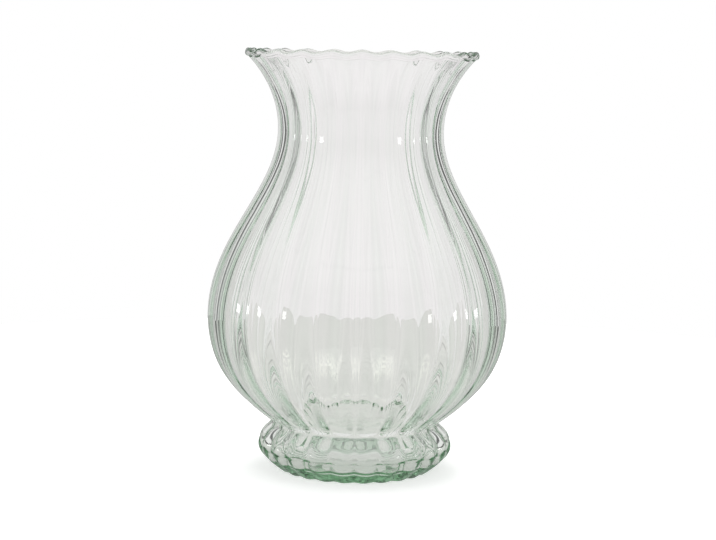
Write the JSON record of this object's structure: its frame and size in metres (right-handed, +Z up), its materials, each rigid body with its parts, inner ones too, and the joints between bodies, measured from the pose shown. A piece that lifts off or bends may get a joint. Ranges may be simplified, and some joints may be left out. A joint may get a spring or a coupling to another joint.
{
  "type": "fan vase",
  "caption": "Mouth-blown flower vase of clear green-tinted ribbed glass: round bowl, narrow neck, flared waved lip and hollow cushion foot.",
  "frame": {"origin": "centre of the ring that the vase stands on, at the level of the table", "axes": "+Z up along the vase's axis; -Y is the front, where a groove between two ribs faces"},
  "size_m": [0.2, 0.2, 0.2816],
  "materials": {
    "green_tinted_glass": "clear glossy glass, faintly green where it is thick"
  },
  "bodies": {
    "root": {"vase_body": "green_tinted_glass", "vase_foot": "green_tinted_glass"}
  },
  "joints": []
}
